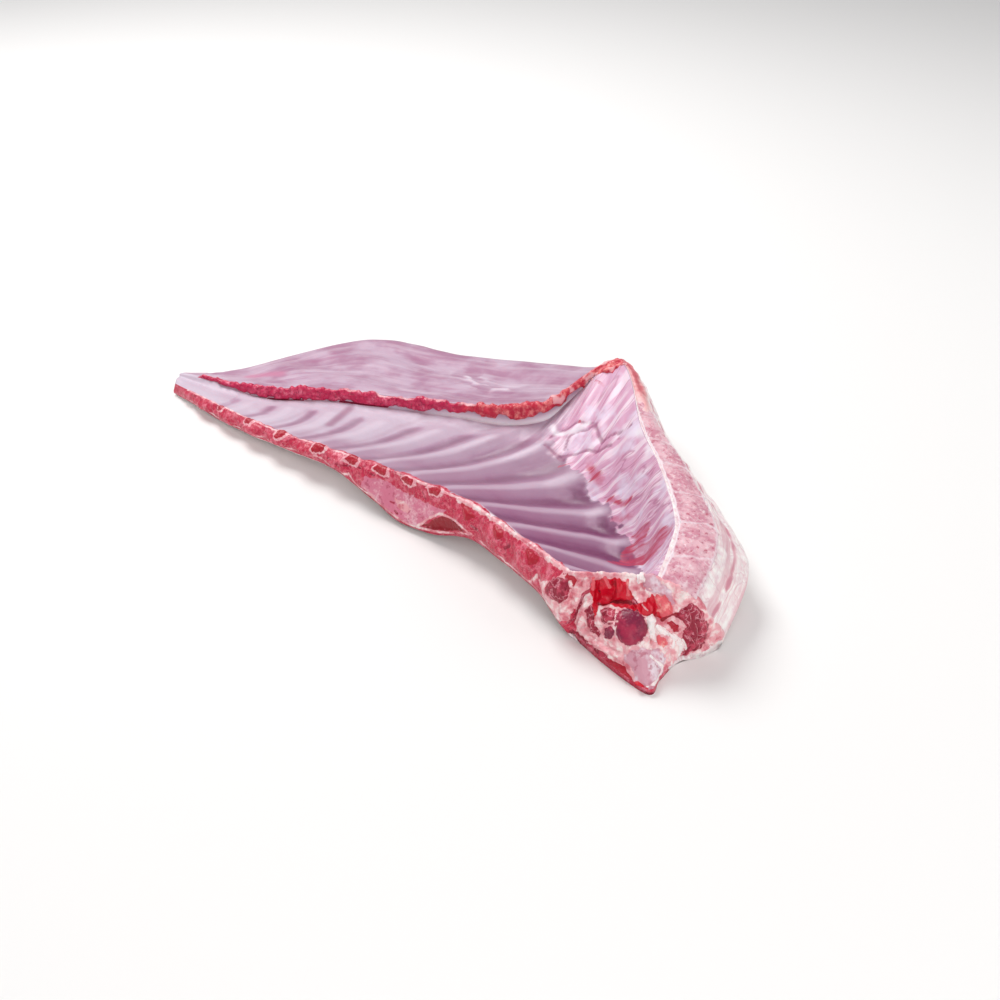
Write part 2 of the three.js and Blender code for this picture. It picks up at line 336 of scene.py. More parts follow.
def readPlaces(mesh):
    places = np.empty(len(mesh.vertices) * 3, np.float32)
    mesh.vertices.foreach_get("co", places)
    places = places.reshape(-1, 3).astype(float)
    return clamp01(places[:, 0]), clamp01(places[:, 1]), places[:, 2] > 0.5


def dress(mesh, points, marks, u, v):
    mesh.vertices.foreach_set("co", toWorld(points).astype(np.float32).ravel())
    for name, values in marks.items():
        mesh.attributes.new(name, "FLOAT", "POINT").data.foreach_set("value", np.asarray(values, np.float32))
    corners = np.empty(len(mesh.loops), np.int32)
    mesh.loops.foreach_get("vertex_index", corners)
    sheetMap = mesh.uv_layers.new(name="sheetMap")
    sheetMap.data.foreach_set("uv", np.stack([u[corners], v[corners]], 1).astype(np.float32).ravel())
    mesh.shade_smooth()
    mesh.update()


def addPiece(mesh, materials):
    piece = bpy.data.objects.new(mesh.name, mesh)
    bpy.context.scene.collection.objects.link(piece)
    for material in materials:
        mesh.materials.append(material)
    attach(piece, "root")
    return piece


def linear(code):
    parts = [int(code[i:i + 2], 16) / 255 for i in (1, 3, 5)]
    return tuple(c / 12.92 if c <= 0.04045 else ((c + 0.055) / 1.055) ** 2.4 for c in parts) + (1.0,)


# One node with its settings and links: a hex value is a colour, a socket is linked. Gives one of its outputs.
def addNode(tree, kind, inputs, output=0, **settings):
    node = tree.nodes.new("ShaderNode" + kind)
    for name, value in settings.items():
        setattr(node, name, value)
    for socket, value in inputs.items():
        if isinstance(value, bpy.types.NodeSocket):
            tree.links.new(value, node.inputs[socket])
        else:
            node.inputs[socket].default_value = linear(value) if isinstance(value, str) else value
    return node.outputs[output] if node.outputs else node


# Builds a material from its look. Patterns are noise with their grain in millimetres, either one size on the
# object or (along, across) on the sheet's own map, as clouds or as threads. A layer lays its paint where the
# sum of its weighted patterns and marks goes from start to end, and only within a mark where it names one.
def meatMaterial(name, look):
    material = bpy.data.materials.new(name)
    material.use_nodes = True
    tree = material.node_tree
    tree.nodes.clear()
    spaces = {False: addNode(tree, "TexCoord", {}, "Object"),
              True: addNode(tree, "UVMap", {}, uv_map="sheetMap")}
    values = {key: addNode(tree, "Attribute", {}, "Fac", attribute_name=key) for key in look["marks"]}
    for index, (key, (size, detail, form)) in enumerate(look["patterns"].items()):
        onSheet = isinstance(size, tuple)
        scale = [1 / (size * mm)] * 3 if not onSheet else [
            sheetSpan["along"] / size[0], sheetSpan["across"] / size[1], 1.0]
        offset = [look["seed"] + 5.3 * index] * 3
        place = addNode(tree, "Mapping", {"Vector": spaces[onSheet], "Location": offset, "Scale": scale})
        value = addNode(tree, "TexNoise", {
            "Vector": place, "Scale": 1.0, "Detail": detail, "Roughness": 0.55})
        if form == "threads":       # 1 on a thread, 0 between threads
            value = addNode(tree, "Math", {0: value, 1: 0.5}, operation="SUBTRACT")
            value = addNode(tree, "Math", {0: value}, operation="ABSOLUTE")
            value = addNode(tree, "Math", {0: value, 1: -8.0, 2: 1.0}, operation="MULTIPLY_ADD")
        values[key] = value
    colour = look["base"]
    for paint, most, start, end, weights, *within in look["layers"]:
        total = 0.0
        for key, weight in weights.items():
            total = addNode(tree, "Math", {0: values[key], 1: weight, 2: total}, operation="MULTIPLY_ADD")
        share = addNode(tree, "MapRange", {
            "Value": total, "From Min": start, "From Max": end, "To Max": most},
            interpolation_type="SMOOTHSTEP")
        for key in within:
            share = addNode(tree, "Math", {0: share, 1: values[key]}, operation="MULTIPLY")
        colour = addNode(tree, "Mix", {0: share, 6: colour, 7: paint}, 2, data_type="RGBA")
    total = 0.0
    for key, weight in look["bump"].items():
        total = addNode(tree, "Math", {0: values[key], 1: weight, 2: total}, operation="MULTIPLY_ADD")
    bump = addNode(tree, "Bump", {"Strength": 0.6, "Distance": look["bumpSize"] * mm, "Height": total})
    key, low, high = look["rough"]
    rough = addNode(tree, "MapRange", {
        "Value": values[key], "From Min": 0.35, "From Max": 0.65, "To Min": low, "To Max": high})
    shader = addNode(tree, "BsdfPrincipled", {
        "Base Color": colour, "Roughness": rough, "IOR": 1.4, "Normal": bump, "Coat Weight": look["wet"],
        "Coat Roughness": 0.22, "Subsurface Weight": look["soft"], "Subsurface Radius": (1.0, 0.35, 0.3),
        "Subsurface Scale": 3 * mm})
    addNode(tree, "OutputMaterial", {"Surface": shader})
    return material


# Pleura, the thin moist membrane lining the chest: pale lilac over the ribs, with a painted highlight on each
# crest, and purple where the lean between them shows through, deepened by painted shade. Towards the
# breastbone it carries slips of pale muscle with red frayed ends.
pleuraLook = {
    "seed": 1.0, "base": "#c3adbf",
    "marks": ("along", "low", "valley", "ridge", "slips", "crease", "blush", "pale"),
    "patterns": {"patchy": (22, 3, "clouds"), "fine": (3, 3, "clouds"), "drag": ((5, 60), 3, "clouds"),
                 "strands": ((3.0, 40), 4, "clouds"), "lines": ((6.5, 50), 2, "threads")},
    "layers": (
        ("#a07390", 1.0, 0.36, 0.60, {"along": 1, "patchy": 0.1}),
        # painted shade: darker purple over the low part of the bowl beside the sawn rim
        ("#9c6184", 0.7, 0.15, 0.85, {"low": 1, "drag": 0.3}),
        # the lean between the ribs, deepened by painted shade in the valleys
        ("#a2648c", 0.8, 0.30, 1.05, {"valley": 1, "drag": 0.7, "patchy": -0.3}),
        ("#6b1f52", 0.85, 0.48, 1.08, {"valley": 0.62, "along": 0.5, "drag": 0.25}),
        # the pale rib under the membrane, with a painted highlight along its crest
        ("#d9c6d5", 0.50, 0.75, 1.40, {"ridge": 1, "drag": 0.6}),
        ("#e6dae4", 0.45, 0.90, 0.60, {"along": 1, "patchy": 0.3}, "patchy"),
        ("#d8a2be", 1.0, 0.45, 0.75, {"slips": 1, "fine": 0.2}),
        ("#f1d9e5", 0.95, 0.46, 0.60, {"strands": 1}, "slips"),
        ("#ac567f", 0.55, 0.80, 0.99, {"lines": 1}, "slips"),
        # pale lilac-white clouds on the slips, partly a painted highlight
        ("#e6d8ea", 0.75, 0.48, 0.66, {"patchy": 1}, "slips"),
        # painted shade along the folds, and the soft purple lines of the rear rib valleys
        ("#8e3f68", 0.65, 0.2, 0.9, {"crease": 1}),
        ("#b92c50", 0.9, 1.24, 1.46, {"blush": 0.7, "strands": 1.3}),
        ("#c23e62", 0.5, 1.00, 1.30, {"blush": 1, "fine": 0.45}),
        # pale membrane, and painted light on the shaded step under the midriff strip
        ("#efe2ea", 1.0, 0.15, 0.9, {"pale": 1}),
    ),
    "bump": {"drag": 0.6, "fine": 0.4}, "bumpSize": 0.5,
    "rough": ("patchy", 0.40, 0.52), "wet": 0.08, "soft": 0.12,
}

# The flank's inner side: boneless muscle under a thin pearly membrane, mauve with pale cloudy areas
membraneLook = {
    "seed": 2.0, "base": "#ac7a96", "marks": ("blush", "pale"),
    "patterns": {"cloudy": (26, 3, "clouds"), "fine": (2.5, 3, "clouds"), "fibres": ((30, 4), 3, "clouds")},
    "layers": (
        ("#c3a4b8", 1.0, 0.36, 0.66, {"cloudy": 1}),
        ("#dcc6d4", 0.5, 0.45, 0.75, {"fibres": 1}),
        ("#a86488", 0.45, 0.45, 0.28, {"fibres": 1}),
        ("#c87094", 0.7, 0.0, 1.0, {"blush": 1}),
        ("#e8d8e4", 1.0, 0.0, 1.0, {"pale": 1}),
    ),
    "bump": {"fibres": 0.5, "fine": 0.5}, "bumpSize": 0.5,
    "rough": ("cloudy", 0.36, 0.48), "wet": 0.1, "soft": 0.12,
}

# The outside of the breast: firm white fat with a little pink lean showing through its thin places
fatLook = {
    "seed": 3.0, "base": "#eccdd3", "marks": ("blush", "meaty"),
    "patterns": {"clouds": (34, 3, "clouds"), "fine": (4, 4, "clouds"), "crumbs": (1.4, 2, "clouds"),
                 "veins": (16, 2, "threads"), "bands": ((50, 3), 4, "clouds")},
    "layers": (
        ("#fffaf6", 1.0, 0.34, 0.62, {"fine": 0.5, "clouds": 0.1, "bands": 0.4}),
        ("#dc98a8", 0.75, 0.50, 0.66, {"clouds": 0.35, "bands": 0.65, "blush": 0.3}),
        ("#d9a2af", 0.4, 0.84, 0.99, {"veins": 1}),
        ("#cf8294", 0.8, 0.45, 1.1, {"blush": 1, "fine": 0.5}),
        ("#ecacac", 0.9, 0.40, 0.85, {"meaty": 1, "fine": 0.3}),
        ("#c4304a", 0.8, 1.05, 1.40, {"meaty": 1, "fine": 0.8, "clouds": 0.2}, "meaty"),
    ),
    "bump": {"fine": 1.0, "crumbs": 0.4}, "bumpSize": 0.9,
    "rough": ("fine", 0.38, 0.52), "wet": 0.05, "soft": 0.12,
}

# Meat cut through with knife and saw. Lean is moist, red-pink and granular, with threads of fat in it; fat
# and gristle are smooth and pale; marrow and blood are the deepest reds. Painted shade darkens a hollow and
# some seams, and a painted highlight runs along one edge of white fat.
cutLook = {
    "seed": 4.0, "base": "#ca2c4c",
    "marks": (
        "fat", "tallowAndHighlight", "wall", "gristle", "marrow", "disc", "blood", "shadeAndSeam", "coral", "deep", "apron",
    ),
    "patterns": {"bundles": (4.5, 4, "clouds"), "grains": (1.5, 3, "clouds"), "threads": (4, 2, "threads"),
                 "clouds": (10, 3, "clouds"), "strands": (8, 3, "threads")},
    "layers": (
        ("#ec8094", 0.75, 0.44, 0.68, {"bundles": 1}),
        ("#a4183a", 0.55, 0.48, 0.36, {"grains": 1}),
        ("#f6bcc0", 0.3, 0.84, 1.00, {"threads": 1}),
        ("#dd7c96", 1.0, 0.25, 0.75, {"apron": 1}),
        ("#f4c4ce", 0.8, 0.46, 0.64, {"clouds": 0.6, "grains": 0.4}, "apron"),
        ("#b43c5c", 0.6, 0.44, 0.34, {"bundles": 1}, "apron"),
        ("#efa8b0", 1.0, 0.30, 0.80, {"fat": 1, "grains": 0.2}),
        ("#fdebe8", 0.95, 0.47, 0.62, {"bundles": 0.7, "clouds": 0.3}, "fat"),
        ("#cc4c62", 0.75, 0.49, 0.38, {"clouds": 0.6, "bundles": 0.4}, "fat"),
        # white fat; along the lower gristle's edge it is a painted highlight
        ("#fdf2f0", 1.0, 0.30, 0.80, {"tallowAndHighlight": 1}),
        ("#f2c2c8", 0.6, 0.48, 0.36, {"bundles": 1}, "tallowAndHighlight"),
        ("#f0a2ae", 1.0, 0.25, 0.75, {"wall": 1}),
        ("#fbdcdc", 0.8, 0.48, 0.62, {"grains": 1}, "wall"),
        ("#d79cac", 1.0, 0.25, 0.75, {"gristle": 1}),
        ("#f3e4ec", 0.85, 0.46, 0.60, {"clouds": 1}, "gristle"),
        ("#bb6478", 0.7, 0.46, 0.34, {"bundles": 1}, "gristle"),
        ("#b4182f", 1.0, 0.25, 0.75, {"marrow": 1}),
        ("#e05870", 0.6, 0.52, 0.66, {"grains": 0.6, "bundles": 0.4}, "marrow"),
        ("#7e0e3a", 1.0, 0.25, 0.75, {"disc": 1}),
        ("#b4264a", 0.75, 0.45, 0.62, {"clouds": 1}, "disc"),
        ("#cc5068", 0.2, 0.56, 0.70, {"grains": 1}, "disc"),
        ("#d8062a", 1.0, 0.25, 0.75, {"blood": 1}),
        ("#f83c56", 0.5, 0.54, 0.68, {"clouds": 1}, "blood"),
        ("#980418", 0.8, 0.47, 0.35, {"clouds": 0.7, "bundles": 0.3}, "blood"),
        ("#e8606a", 1.0, 0.25, 0.75, {"coral": 1}),
        ("#fcb4aa", 0.8, 0.50, 0.66, {"bundles": 1}, "coral"),
        ("#961634", 1.0, 0.25, 0.75, {"deep": 1}),
        ("#cc4860", 0.8, 0.46, 0.62, {"bundles": 1}, "deep"),
        ("#eda0ae", 0.6, 0.78, 0.97, {"strands": 1}, "deep"),
        # painted shade: dark red in the hollow under a loose fold and in the grooves of seams
        ("#96081c", 0.95, 0.2, 0.8, {"shadeAndSeam": 1}),
    ),
    "bump": {"bundles": 1.0, "grains": 0.6}, "bumpSize": 1.2,
    "rough": ("grains", 0.30, 0.44), "wet": 0.15, "soft": 0.1,
}

# Midriff trimmed with a knife: crimson lean in loose bundles, with a line of pale membrane along its top,
# painted shade beside its lower edge and painted highlights on its crumbly end
midriffLook = {
    "seed": 5.0, "base": "#cc2152", "marks": ("creamLine", "shade", "crumb", "fatty"),
    "patterns": {"bundles": (5, 4, "clouds"), "grains": (1.8, 3, "clouds"),
                 "fibres": ((9, 2.5), 3, "clouds")},
    "layers": (
        ("#e65a7c", 0.8, 0.44, 0.64, {"bundles": 0.6, "fibres": 0.4}),
        ("#8c1236", 0.55, 0.47, 0.36, {"grains": 1}),
        ("#f0889c", 0.6, 0.56, 0.68, {"grains": 0.3, "bundles": 0.7}),
        ("#cf2c40", 0.8, 0.55, 1.05, {"crumb": 1, "bundles": 0.8}),
        # orange-pink bits on the crumbly lumps, partly painted highlight
        ("#ff9c94", 0.8, 0.72, 0.90, {"bundles": 0.7, "grains": 0.2, "crumb": 0.3}, "crumb"),
        ("#6c1230", 0.9, 0.3, 0.9, {"shade": 1}),
        ("#f6bcc2", 0.9, 0.45, 1.0, {"creamLine": 1, "grains": 0.4}),
        ("#f4b4b8", 0.9, 0.4, 0.9, {"fatty": 1, "bundles": 0.4}),
    ),
    "bump": {"bundles": 1.0, "grains": 0.5}, "bumpSize": 1.6,
    "rough": ("grains", 0.28, 0.42), "wet": 0.2, "soft": 0.1,
}

# Breastbone split with a saw: spongy pink bone with blood in its pores, crossed by pale gristle
boneLook = {
    "seed": 6.0, "base": "#d08c9e", "marks": ("creamLine",),
    "patterns": {"clouds": (9, 3, "clouds"), "pores": (2.4, 3, "clouds"), "threads": (8, 2, "threads")},
    "layers": (
        ("#e6b6c0", 1.0, 0.38, 0.62, {"clouds": 1}),
        ("#b85068", 0.8, 0.43, 0.31, {"pores": 1}),
        ("#f0d6da", 0.8, 0.54, 0.72, {"pores": 1}),
        ("#eed6da", 0.4, 0.75, 1.00, {"threads": 1}),
        ("#f1e0e6", 0.85, 0.35, 1.1, {"creamLine": 1, "pores": 0.4}),
    ),
    "bump": {"pores": 1.0}, "bumpSize": 0.6,
    "rough": ("pores", 0.36, 0.50), "wet": 0.1, "soft": 0.12,
}

cutMeat = meatMaterial("cut lean fat and gristle", cutLook)
sheetFinish = {
    "pleura": meatMaterial("wet pleura over ribs", pleuraLook),
    "membrane": meatMaterial("pearly membrane over flank", membraneLook),
    "fat": meatMaterial("cold white fat", fatLook),
    "cut": cutMeat,
}
midriffLean = meatMaterial("trimmed midriff lean", midriffLook)
spongyBone = meatMaterial("split spongy bone", boneLook)
print("materials made")

# The sheet itself. Paths are in plan millimetres, lines along it have a place across and a width, grains have
# a size and a height, and streaks a size along, a size across and a height.
main = {
    "cells": (150, 64), "topCuts": 2,
    "membraneWaves": ((12, 0.25), (4, 0.1)), "flankWaves": ((15, 0.5), (5, 0.15)),
    "fatLumps": ((10, 1.2), (4, 0.5)), "meatyLumps": ((5, 1.6), (2.2, 0.8)),
    "frayed": ((10, 0.025), (3.5, 0.018)),
    "fatBands": (34, 7, 0.9), "strands": (3.2, 40, 0.6), "wrinkles": (5, 4, 3.2), "wavyEdge": (12, 1, 1.5),
    "leanStreak": (0.93, 0.009), "faintStreak": (0.905, 0.012), "innerLine": (0.722, 0.006),
    "rimBand": (0.103, 0.012), "underStripPaintedLight": (0.684, 0.016),
    "under": {                      # sunk under another piece: slopes along and across, share of the depth
        "sawnEdge": ((0.035, 0.05, 1.0, 1.1), (0.0, 0.03, 0.078, 0.092), 1.0),
        "frontFace": ((0.862, 0.875, 0.97, 0.995), (0.0, 0.02, 0.96, 0.99), 1.0),
        "breastbone": ((0.585, 0.60, 0.861, 0.862), (0.738, 0.748, 0.848, 0.862), 0.8),
    },
    "folds": (((31, 21), (35, 31), (41, 37), (50, 39)), ((46, 19), (42, 26), (46, 33), (54, 37)),
              ((54, 37), (63, 31), (70, 27)), ((70, 28), (80, 30), (86, 34)),
              ((47, 14), (58, 20), (72, 22), (81, 23)), ((32, 15), (43, 14), (51, 13))),
    "valleyLines": (((-110, -26), (-105, -39), (-96, -58)), ((-117, -93), (-120, -73), (-126, -54)),
                    ((-89, -88), (-96, -58), (-105, -33)), ((-60, -74), (-62, -48), (-64, -25), (-59, -6)),
                    ((-2, -2), (2, 7)), ((-40, -2), (-35, 1))),
    "wrinkled": (((-84, 54), (-58, 48), (-38, 54)), 13.0), "wrinkleHeight": 1.2,
    "redSlips": ((((72, 13), (82, 8), (89, 6)), 6.0), (((29, 65), (37, 64)), 2.5), (((41, 37),), 2.5),
                 (((102, -2), (113, -4), (122, -5)), 3.0), (((114, -11), (130, -12)), 3.0),
                 (((138, -21), (150, -22)), 3.0), (((141, -29), (149, -26)), 3.0),
                 (((145, -32), (162, -33), (177, -38)), 7.0), (((141, -43), (154, -34), (170, -39)), 4.5),
                 (((52, 8), (60, 14)), 2.0)),
    "flankBlush": (((-196, -52), (-188, -44), (-179, -38)), 5.0),
    "paleSpots": ((((24, 29), (31, 25), (43, 31), (47, 39)), 2.5), (((98, 28), (112, 24), (118, 14)), 3.5)),
    "foldWidth": 1.3, "foldDepth": 0.8, "ridgeHeight": 0.3, "soften": 0.42, "sunk": 2.6, "leanEnd": 0.78,
    "valleyAt": 0.58, "valleyWidth": (0.16, 0.28), "ridgeWidth": 0.2, "softWidth": 4.0,
}


def mainRelief(u, v, points, marks):
    onFlank = flankShare(u) * rise(line["crest"], line["crest"] + 0.03, v)
    onBreast = (1 - flankShare(u)) * rise(line["crest"], line["crest"] + 0.04, v)
    onRibs = plateau(line["rim"], line["rim"] + 0.06, line["costal"], line["foot"], v)
    onRibs = onRibs * plateau(0.1, 0.4, 0.8, 0.86, u) * (1 - marks["slips"])
    inside = uneven(points, 1, *main["membraneWaves"]) + main["ridgeHeight"] * marks["ridge"] * onRibs
    inside = inside + marks["slips"] * streaks(u, v, 7, *main["strands"])
    flankWaves = uneven(points, 3, *main["flankWaves"])
    fatLumps = uneven(points, 5, *main["fatLumps"]) + streaks(u, v, 19, *main["fatBands"])
    fatLumps = fatLumps + marks["meaty"] * uneven(points, 11, *main["meatyLumps"])
    height = mix(mix(inside, flankWaves, onFlank), fatLumps, onBreast)
    height = height + main["wrinkleHeight"] * marks["pale"] * onFlank
    height = height - main["soften"] * ribHeight(u, v) * (v < line["crest"])
    return height - main["foldDepth"] * marks["crease"] * (1 - marks["soft"])


def mainMarks(u, v, points, top):
    inner = (v < line["crest"]) & top
    flankTop = (v > line["crest"]) & (u < peak) & top
    breastTop = (v > line["crest"]) & (u >= peak - 0.06) & top
    phase = (rail("sawn", u)[:, 0] - ribs["firstX"]) / ribs["pitch"]
    phase = phase - np.floor(phase)
    width = mix(*main["valleyWidth"], rise(0.3, 0.52, u))
    reach = (1 - rise(line["costal"] - 0.03, line["costal"] + 0.07, v)) * rise(0.08, 0.16, u)
    # the ridge mark: the pale rib under the membrane, with a painted highlight along its crest
    marks = {"along": u, "ridge": hill(np.minimum(phase, 1 - phase) / main["ridgeWidth"]) * reach}
    # the low mark is painted shade over the low part of the bowl beside the sawn rim
    marks["low"] = (1 - rise(0.13, 0.36, v)) * plateau(0.2, 0.42, 0.7, 0.8, u)
    frayed = v + uneven(points, 17, *main["frayed"])
    band = rise(line["costal"] - 0.01, line["costal"] + 0.02, frayed) * (1 - flankShare(u - 0.02))
    marks["slips"] = np.where(inner, band, 0)
    # valleys: the lean between the ribs, partly painted shade in place of the softened relief; at the foot of
    # the ribs under the slips, painted shade
    valley = hill((phase - main["valleyAt"]) / width) * reach
    ribEndShade = hill((frayed - line["costal"] + 0.035) / 0.03) * rise(0.56, 0.62, u) * (1 - marks["ridge"])
    marks["valley"] = np.maximum(valley, ribEndShade) * (1 - 0.5 * rise(0.74, 0.82, u))
    # creases: painted shade along the folds; soft lines: the purple rear rib valleys, partly painted shade
    folds = nearPaths(points, *[(path, main["foldWidth"]) for path in main["folds"]])
    softLines = 0.42 * nearPaths(points, *[(path, main["softWidth"]) for path in main["valleyLines"]])
    marks["crease"] = clamp01(np.where(inner, folds + softLines, 0))
    marks["soft"] = clamp01(softLines * 3)
    leanStreak = softLine(v - 0.01 * grain(points, 14, 15), main["leanStreak"]) * (1 - flankShare(u))
    leanStreak = leanStreak * clamp01(0.7 + 1.4 * grain(points, 11, 16))
    fatRed = np.maximum(leanStreak, 0.45 * softLine(v, main["faintStreak"])) * (1 - flankShare(u))
    blush = np.where(inner, nearPaths(points, *main["redSlips"]), 0)
    blush = blush + np.where(flankTop, nearPaths(points, main["flankBlush"]), 0)
    marks["blush"] = clamp01(blush + np.where(top & (v > line["shoulder"]), fatRed, 0))
    rimBand = softLine(v, main["rimBand"]) * plateau(0.56, 0.66, 0.82, 0.86, u)
    # painted light: lightens the shaded step under the midriff strip
    underStripPaintedLight = softLine(v, main["underStripPaintedLight"]) * plateau(0.34, 0.42, 0.50, 0.53, u)
    pale = np.where(inner, 0.8 * nearPaths(points, *main["paleSpots"]) + rimBand + underStripPaintedLight, 0)
    innerLine = softLine(v - 0.004 * grain(points, 9, 13), main["innerLine"]) * rise(0.6, 0.66, u)
    wrinkles = clamp01(streaks(u, v, 20, *main["wrinkles"]) + 0.1)
    wrinkles = np.where(flankTop, wrinkles * nearPaths(points, main["wrinkled"]), 0)
    marks["pale"] = clamp01(pale + np.where(top, 0.9 * innerLine, 0) + 0.7 * wrinkles)
    marks["meaty"] = np.where(breastTop, hill((u - 0.56) / 0.035) * hill((v - 0.80) / 0.09), 0)
    return marks


def makeMain():
    mesh = slab("rib_sheet", *main["cells"], main["topCuts"])
    u, v, top = readPlaces(mesh)
    points = np.where(column(top), upper(u, v), lower(u, v))
    marks = mainMarks(u, v, points, top)
    covered = (v > line["rim"]) & (u < frontRim)
    height = np.where(top & covered, mainRelief(u, v, points, marks), 0) * (1 - rise(0.97, 1, v))
    under = [share * plateau(*along, u) * plateau(*across, v)
             for along, across, share in main["under"].values()]
    height = height - np.where(top, main["sunk"] * np.maximum.reduce(under), 0)
    points += column(height) * outward(u, v)
    below = ~top & (points[:, 2] > 0.3)
    points[:, 2] = np.where(below, np.maximum(0.2, points[:, 2] + 0.8 * grain(points, 14, 8)), points[:, 2])
    wavy = streaks(u, 0 * v, 9, *main["wavyEdge"]) * rise(0.93, 1, v)
    points[:, 1] += wavy * plateau(0.02, 0.1, 0.8, 0.86, u)
    dress(mesh, points, marks, u, v)
    finishes = list(sheetFinish)
    for polygon in mesh.polygons:
        corners = np.array(polygon.vertices)
        across, along = v[corners].mean(), u[corners].mean()
        flankEnd = peak - 0.025 + 0.03 * noise.noise((across * 14, along * 20, 3.7))
        if not top[corners].any():
            finish = "fat"
        elif across < line["rim"] or (along > frontRim + 0.012 and across < main["leanEnd"]):
            finish = "cut"
        elif across < line["crest"]:
            finish = "pleura"
        else:
            finish = "membrane" if along < flankEnd and top[corners].all() else "fat"
        polygon.material_index = finishes.index(finish)
    return mesh


sheet = addPiece(makeMain(), sheetFinish.values())
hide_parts("lamb_ribs")
print("sheet", len(sheet.data.polygons))


# A closed slab over part of the sheet: its middle stands proud of the skin and its border sinks under it.
# The border is a share of the length at both ends and of the width at each side, none where the skin ends.
def patch(name, settings, relief):
    mesh = slab(name, *settings["cells"])
    s, t, top = readPlaces(mesh)
    u = mix(settings["along"][0], settings["along"][1], s)
    v = np.interp(t, *settings["across"])
    base, normals = upper(u, v), outward(u, v)
    cover = np.ones_like(u)
    for edge, width in zip((s, 1 - s, t, 1 - t), settings["border"]):
        if width:
            cover = cover * rise(0, width, edge)
    height, marks = relief(u, v, base)
    lift = np.where(top, mix(-settings["sink"], height, cover), -settings["depth"])
    points = base + column(lift) * normals
    points[:, 2] = np.maximum(points[:, 2], 0.1)
    dress(mesh, points, marks, u, v)
    return mesh


# What the knife and saw laid bare: tissue, area or line, width and lift in millimetres, places on the sheet
sawnTissues = [
    ("apron", "area", 0.0, 0.3, ((0.472, 0.055), (0.502, 0.065), (0.534, 0.055), (0.576, 0.058),
        (0.618, 0.057), (0.605, 0.043), (0.571, 0.002), (0.526, 0.0), (0.490, 0.002), (0.467, 0.017))),
    ("fat", "area", 0.0, 0.7, ((0.524, 0.033), (0.539, 0.037), (0.556, 0.032), (0.551, 0.017),
        (0.532, 0.020))),
    # painted shade in the hollow under the loose fold of the sawn edge
    ("shadeAndSeam", "area", 0.0, -1.1, ((0.576, 0.003), (0.608, 0.042), (0.620, 0.040), (0.649, 0.032),
        (0.659, 0.017), (0.623, 0.006), (0.596, 0.004))),
    ("fat", "line", 0.7, 1.2, ((0.573, 0.005), (0.587, 0.025), (0.607, 0.047), (0.625, 0.042),
        (0.652, 0.035), (0.663, 0.025))),
    ("fat", "line", 0.8, 0.9, ((0.439, 0.023), (0.455, 0.002), (0.471, 0.0), (0.486, 0.007),
        (0.495, 0.0), (0.528, 0.0), (0.551, 0.0), (0.571, 0.0), (0.596, 0.003), (0.623, 0.0),
        (0.670, 0.018))),
    ("fat", "line", 0.6, 0.7, ((0.03, 0.0), (0.10, 0.006), (0.19, 0.004), (0.271, 0.022),
        (0.301, 0.004), (0.370, 0.035), (0.424, 0.004), (0.439, 0.02))),
    ("fat", "line", 0.7, 0.6, ((0.663, 0.020), (0.695, 0.003), (0.732, 0.010), (0.742, 0.002),
        (0.790, 0.003), (0.814, 0.0), (0.835, 0.003))),
    ("fat", "line", 1.0, 1.0, ((0.794, 0.003), (0.806, 0.035))),
    ("deep", "line", 1.0, 0.3, ((0.739, 0.048), (0.745, 0.058))),
    ("deep", "line", 0.9, 0.3, ((0.670, 0.045), (0.680, 0.037))),
    ("deep", "line", 0.6, 0.2, ((0.518, 0.022), (0.524, 0.023))),
    ("deep", "line", 0.6, 0.2, ((0.568, 0.075), (0.576, 0.063))),
    ("deep", "line", 0.6, 0.2, ((0.529, 0.010), (0.536, 0.008))),
    ("deep", "line", 0.7, 0.0, ((0.455, 0.070), (0.484, 0.065))),
    ("deep", "line", 0.6, 0.0, ((0.395, 0.055), (0.420, 0.048), (0.436, 0.058))),
    ("fat", "line", 1.5, 1.0, ((0.631, 0.090), (0.671, 0.092), (0.702, 0.093), (0.734, 0.094),
        (0.767, 0.092), (0.799, 0.090), (0.831, 0.090), (0.857, 0.094))),
    ("fat", "line", 0.6, 0.5, ((0.03, 0.094), (0.15, 0.098), (0.26, 0.094), (0.40, 0.097),
        (0.55, 0.095), (0.64, 0.092))),
]
ribEnd = {                          # where the saw cut each rib, from the flank forward, and its oval's size
    "places": ((0.135, 0.088), (0.21, 0.088), (0.285, 0.090), (0.369, 0.083), (0.436, 0.083), (0.491, 0.087),
               (0.541, 0.085), (0.589, 0.087), (0.652, 0.078), (0.716, 0.080), (0.786, 0.077)),
    "long": 7.6, "tall": 3.5, "wall": 0.68, "bareFrom": 0.62, "steps": 12,
}
